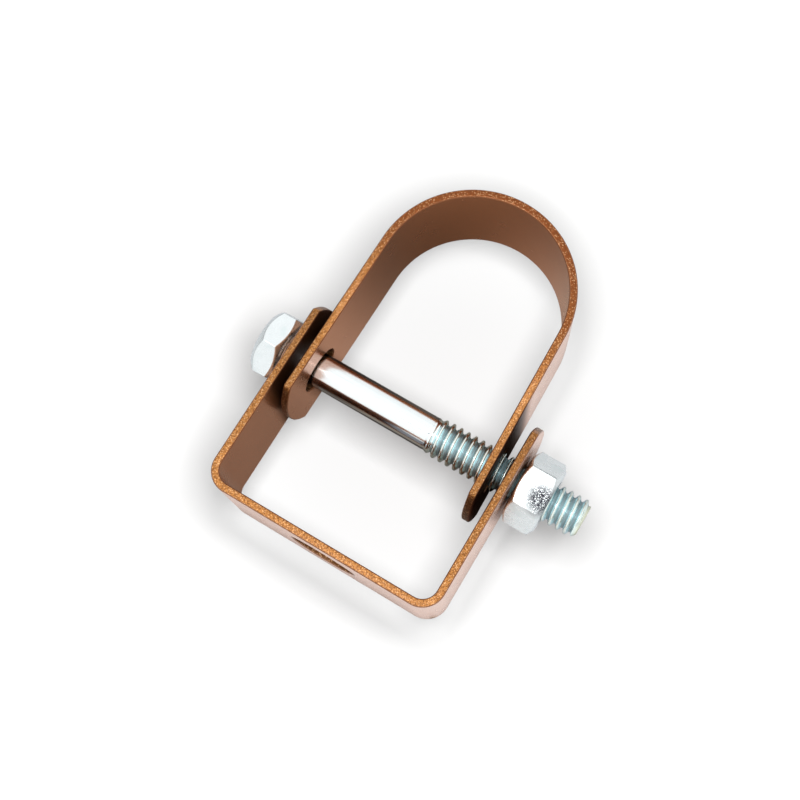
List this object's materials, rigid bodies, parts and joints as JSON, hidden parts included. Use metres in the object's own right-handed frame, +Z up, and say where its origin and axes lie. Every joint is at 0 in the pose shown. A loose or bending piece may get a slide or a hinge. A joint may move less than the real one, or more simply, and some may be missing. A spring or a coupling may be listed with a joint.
{
  "type": "adjustable clevis pipe hanger",
  "caption": "Small adjustable clevis hanger: a bent strip yoke with a rod hole on top, and a round pipe strap swinging on a hexagon cross bolt held by a nut.",
  "frame": {"origin": "centre of the rod hole on the top face of the yoke's plate", "axes": "+Z up along the hanger rod, +X along the cross bolt towards its head, Y along the pipe"},
  "size_m": [0.0562, 0.02, 0.0606],
  "materials": {
    "copper_coated_strip": "copper flake coating on thin strip steel, satin, with bright sheared edges",
    "zinc_plated_steel": "bright blue-white zinc plating, rolled thread"
  },
  "bodies": {
    "yoke": {"yoke": "copper_coated_strip"},
    "strap": {"pipe_strap": "copper_coated_strip"},
    "bolt": {"cross_bolt": "zinc_plated_steel"},
    "nut": {"hex_nut": "zinc_plated_steel"}
  },
  "joints": [
    {"name": "strap_swing", "type": "hinge", "parent": "yoke", "child": "strap", "pos_m": [0, 0, -0.0243], "axis": [1, 0, 0], "range_deg": [-133, 133]},
    {"name": "bolt_turn", "type": "hinge", "parent": "yoke", "child": "bolt", "pos_m": [0, 0, -0.0243], "axis": [1, 0, 0], "range_deg": [-120, 1440]},
    {"name": "nut_travel", "type": "slide", "parent": "yoke", "child": "nut", "axis": [-1, 0, 0], "range_m": [-0.00045, 0.0051]}
  ],
  "couplings": [
    {"joint": "nut_travel", "follows": "bolt_turn", "m_per_rad": 0.00020213}
  ]
}
